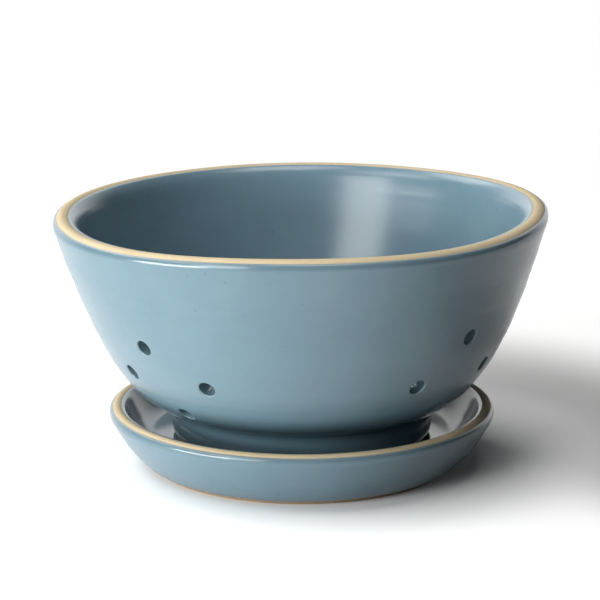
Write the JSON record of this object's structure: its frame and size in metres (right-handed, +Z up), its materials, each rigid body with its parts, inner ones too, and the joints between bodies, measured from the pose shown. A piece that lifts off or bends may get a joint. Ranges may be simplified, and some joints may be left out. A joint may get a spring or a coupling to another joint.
{
  "type": "berry colander bowl with drip saucer",
  "caption": "Round stoneware bowl with rounded bare rim, clusters of drain holes low in its wall and floor, and a foot ring, standing loosely on a shallow footed drip saucer.",
  "frame": {"origin": "on the table under the middle of the saucer", "axes": "+Z up along the common axis of bowl and saucer; -Y towards the viewer, between two clusters of holes"},
  "size_m": [0.16, 0.16, 0.0848],
  "materials": {
    "bare_clay": "bare buff stoneware, matte, fine grain",
    "satin_glaze": "blue-grey satin glaze, slightly mottled"
  },
  "bodies": {
    "saucer": {"saucer_clay": "bare_clay", "saucer_outer_glaze": "satin_glaze", "saucer_inner_glaze": "satin_glaze"},
    "bowl": {"bowl_clay": "bare_clay", "bowl_outer_glaze": "satin_glaze", "bowl_inner_glaze": "satin_glaze", "drain_hole_glaze": "satin_glaze"}
  },
  "joints": [
    {"name": "bowl_lift", "type": "slide", "parent": "saucer", "child": "bowl", "axis": [0, 0, 1], "range_m": [0, 0.06]}
  ]
}
